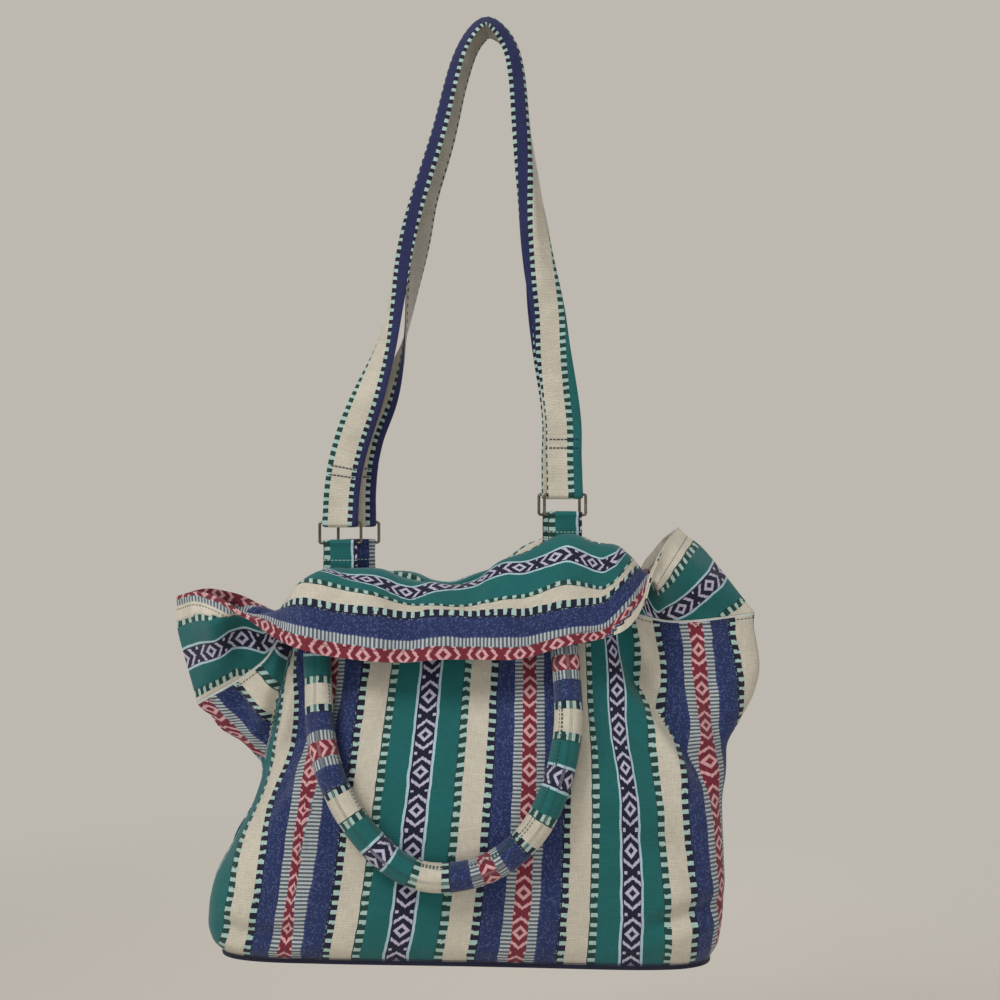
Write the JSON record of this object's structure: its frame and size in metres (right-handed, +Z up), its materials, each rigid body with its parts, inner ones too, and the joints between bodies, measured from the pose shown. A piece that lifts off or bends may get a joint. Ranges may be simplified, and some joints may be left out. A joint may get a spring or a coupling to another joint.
{
  "type": "tote bag",
  "caption": "Soft striped cotton tote bag with a flopped two-layer collar, rolled handles, and long flat shoulder straps held by wire rings, hanging as from a peg.",
  "frame": {"origin": "where the bag hangs: the underside of the inner shoulder strap's crown, on the peg", "axes": "+Z up, +X to the right seen from the front, so that the bag's front looks along -Y"},
  "size_m": [0.4779, 0.1822, 0.7549],
  "materials": {
    "blue_cotton": "woven",
    "green_cotton": "woven",
    "cream_cotton": "woven",
    "dark_brass_wire": "tarnished"
  },
  "bodies": {
    "straps": {"front_strap": "cream_cotton", "back_strap": "blue_cotton"},
    "front_left_ring": {"front_left_ring": "dark_brass_wire"},
    "front_right_ring": {"front_right_ring": "dark_brass_wire"},
    "back_left_ring": {"back_left_ring": "dark_brass_wire"},
    "back_right_ring": {"back_right_ring": "dark_brass_wire"},
    "bag": {"front_panel": "blue_cotton", "back_panel": "green_cotton", "base_panel": "cream_cotton", "front_collar": "green_cotton", "back_collar": "green_cotton", "front_facing": "blue_cotton", "back_facing": "blue_cotton", "front_left_tab": "green_cotton", "front_right_tab": "green_cotton", "back_left_tab": "green_cotton", "back_right_tab": "green_cotton", "front_handle": "green_cotton", "back_handle": "green_cotton"}
  },
  "joints": [
    {"name": "front_left_ring_swing", "type": "hinge", "parent": "straps", "child": "front_left_ring", "pos_m": [-0.11886, -0.00816, -0.40761], "axis": [1, 0, 0], "range_deg": [-30, 30]},
    {"name": "front_right_ring_swing", "type": "hinge", "parent": "straps", "child": "front_right_ring", "pos_m": [0.06414, -0.00816, -0.38461], "axis": [1, 0, 0], "range_deg": [-30, 30]},
    {"name": "back_left_ring_swing", "type": "hinge", "parent": "straps", "child": "back_left_ring", "pos_m": [-0.10586, 0.00816, -0.40761], "axis": [1, 0, 0], "range_deg": [-30, 30]},
    {"name": "back_right_ring_swing", "type": "hinge", "parent": "straps", "child": "back_right_ring", "pos_m": [0.06014, 0.00816, -0.38461], "axis": [1, 0, 0], "range_deg": [-30, 30]},
    {"name": "bag_swing", "type": "hinge", "parent": "front_left_ring", "child": "bag", "pos_m": [-0.11886, -0.00816, -0.42421], "axis": [1, 0, 0], "range_deg": [-30, 30]}
  ],
  "couplings": [
    {"joint": "front_right_ring_swing", "follows": "front_left_ring_swing", "ratio": 1},
    {"joint": "back_left_ring_swing", "follows": "front_left_ring_swing", "ratio": 1},
    {"joint": "back_right_ring_swing", "follows": "front_left_ring_swing", "ratio": 1},
    {"joint": "bag_swing", "follows": "front_left_ring_swing", "ratio": -1}
  ]
}
